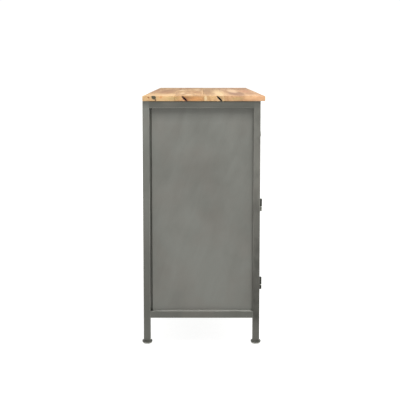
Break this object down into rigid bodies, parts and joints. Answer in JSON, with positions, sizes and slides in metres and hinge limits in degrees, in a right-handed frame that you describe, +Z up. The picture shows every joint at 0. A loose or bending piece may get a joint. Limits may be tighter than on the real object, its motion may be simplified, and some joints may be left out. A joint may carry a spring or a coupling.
{
  "type": "sideboard",
  "caption": "Low industrial sideboard: square-tube steel frame and sheet steel skins, board top, drawers over hinged doors, disc feet.",
  "frame": {"origin": "on the floor, at the middle of the whole length and depth", "axes": "+Z up, front faces -Y, length along X"},
  "size_m": [1.7056, 0.4467, 0.9],
  "materials": {
    "lacquered_steel": "hand-brushed grey steel under clear lacquer",
    "mango_board": "sanded and waxed",
    "hinge_steel": "turned steel, lacquered grey",
    "foot_steel": "dark lacquer",
    "bright_washer": "turned, bright",
    "glide_plastic": "moulded",
    "catch_plastic": "moulded",
    "zinc_steel": "zinc plated",
    "satin_handle": "satin nickel on cast iron"
  },
  "bodies": {
    "carcass": {"back_panel": "lacquered_steel", "back_rail_bottom": "lacquered_steel", "back_rail_top": "lacquered_steel", "bottom_panel": "lacquered_steel", "divider_left": "lacquered_steel", "divider_right": "lacquered_steel", "door_catches": "catch_plastic", "drawer_rails": "lacquered_steel", "end_panel_left": "lacquered_steel", "end_panel_right": "lacquered_steel", "end_rail_bottom_left": "lacquered_steel", "end_rail_bottom_right": "lacquered_steel", "end_rail_top_left": "lacquered_steel", "end_rail_top_right": "lacquered_steel", "foot_discs": "foot_steel", "foot_glides": "glide_plastic", "front_rail_bottom": "lacquered_steel", "front_rail_top": "lacquered_steel", "hinge_frame_knuckles": "hinge_steel", "hinge_pins": "zinc_steel", "hinge_washers": "bright_washer", "partition_left": "lacquered_steel", "partition_right": "lacquered_steel", "post_back_left": "lacquered_steel", "post_back_right": "lacquered_steel", "post_front_left": "lacquered_steel", "post_front_right": "lacquered_steel", "runner_channels": "zinc_steel", "shelf_cleats": "lacquered_steel", "shelf_left": "lacquered_steel", "shelf_middle": "lacquered_steel", "shelf_right": "lacquered_steel", "top_fixing_tabs": "lacquered_steel", "top_screws": "zinc_steel", "top_slab": "mango_board"},
    "door_left": {"door_left_frame": "lacquered_steel", "door_left_hinge_knuckles": "hinge_steel", "door_left_knob": "satin_handle", "door_left_panel": "lacquered_steel"},
    "door_middle": {"door_middle_frame": "lacquered_steel", "door_middle_hinge_knuckles": "hinge_steel", "door_middle_knob": "satin_handle", "door_middle_panel": "lacquered_steel"},
    "door_right": {"door_right_frame": "lacquered_steel", "door_right_hinge_knuckles": "hinge_steel", "door_right_knob": "satin_handle", "door_right_panel": "lacquered_steel"},
    "drawer_left": {"drawer_left_box": "lacquered_steel", "drawer_left_front": "lacquered_steel", "drawer_left_pull": "satin_handle", "drawer_left_runner_rails": "zinc_steel"},
    "drawer_middle": {"drawer_middle_box": "lacquered_steel", "drawer_middle_front": "lacquered_steel", "drawer_middle_pull": "satin_handle", "drawer_middle_runner_rails": "zinc_steel"},
    "drawer_right": {"drawer_right_box": "lacquered_steel", "drawer_right_front": "lacquered_steel", "drawer_right_pull": "satin_handle", "drawer_right_runner_rails": "zinc_steel"}
  },
  "joints": [
    {"name": "door_left_swing", "type": "hinge", "parent": "carcass", "child": "door_left", "pos_m": [-0.82075, -0.20777, 0.36875], "axis": [0, 0, -1], "range_deg": [0, 150]},
    {"name": "door_middle_swing", "type": "hinge", "parent": "carcass", "child": "door_middle", "pos_m": [-0.26442, -0.20777, 0.36875], "axis": [0, 0, -1], "range_deg": [0, 150]},
    {"name": "door_right_swing", "type": "hinge", "parent": "carcass", "child": "door_right", "pos_m": [0.82075, -0.20777, 0.36875], "axis": [0, 0, 1], "range_deg": [0, 150]},
    {"name": "drawer_left_slide", "type": "slide", "parent": "carcass", "child": "drawer_left", "axis": [0, -1, 0], "range_m": [0, 0.28]},
    {"name": "drawer_middle_slide", "type": "slide", "parent": "carcass", "child": "drawer_middle", "axis": [0, -1, 0], "range_m": [0, 0.28]},
    {"name": "drawer_right_slide", "type": "slide", "parent": "carcass", "child": "drawer_right", "axis": [0, -1, 0], "range_m": [0, 0.28]}
  ]
}
